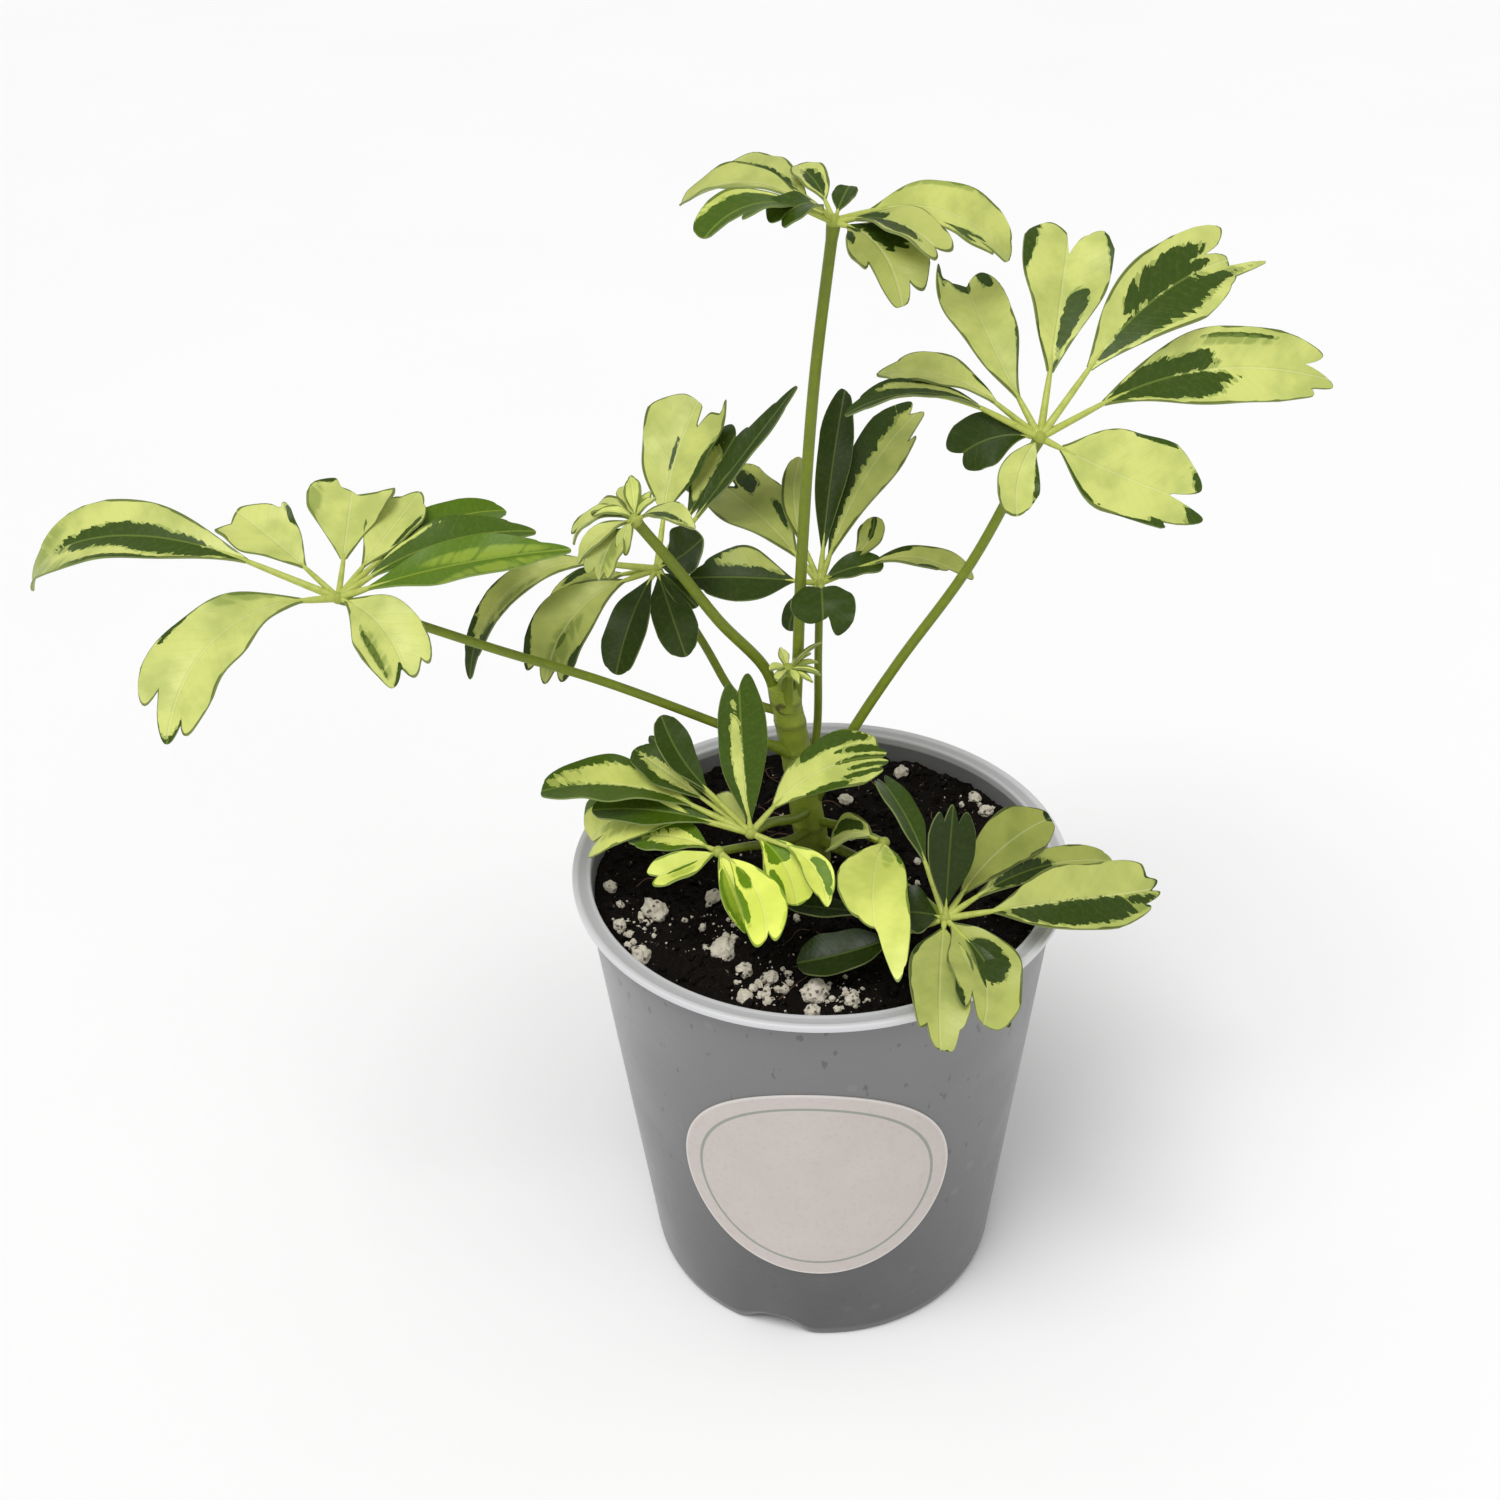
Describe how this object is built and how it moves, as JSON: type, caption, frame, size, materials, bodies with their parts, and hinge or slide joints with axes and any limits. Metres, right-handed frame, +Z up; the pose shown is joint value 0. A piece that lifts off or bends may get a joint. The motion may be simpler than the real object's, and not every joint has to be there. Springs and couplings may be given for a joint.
{
  "type": "potted umbrella plant",
  "caption": "Variegated dwarf umbrella plant: fans of notched leaflets on long stalks round a short trunk, in soil in a tapered grey nursery pot with a bare sticker.",
  "frame": {"origin": "centre of the pot's foot, on the surface it stands on", "axes": "+Z up along the pot's axis, -Y to the front, where the label is, +X to the right seen from the front"},
  "size_m": [0.2847, 0.1246, 0.2872],
  "materials": {
    "pot": "satin, faintly translucent",
    "label": "matt",
    "soil": "damp and rough",
    "trunk": "satin",
    "leaf": "waxy satin"
  },
  "bodies": {
    "root": {"pot": "pot", "label": "label", "soil": "soil", "trunk": "trunk", "leaf_top": "leaf", "leaf_right": "leaf", "leaf_left": "leaf", "leaf_centre": "leaf", "leaf_centre_left": "leaf", "leaf_low_left": "leaf", "leaf_low_front": "leaf", "leaf_low_right": "leaf", "leaf_low_middle": "leaf", "leaf_young": "leaf", "shoot_tip": "leaf"}
  },
  "joints": []
}
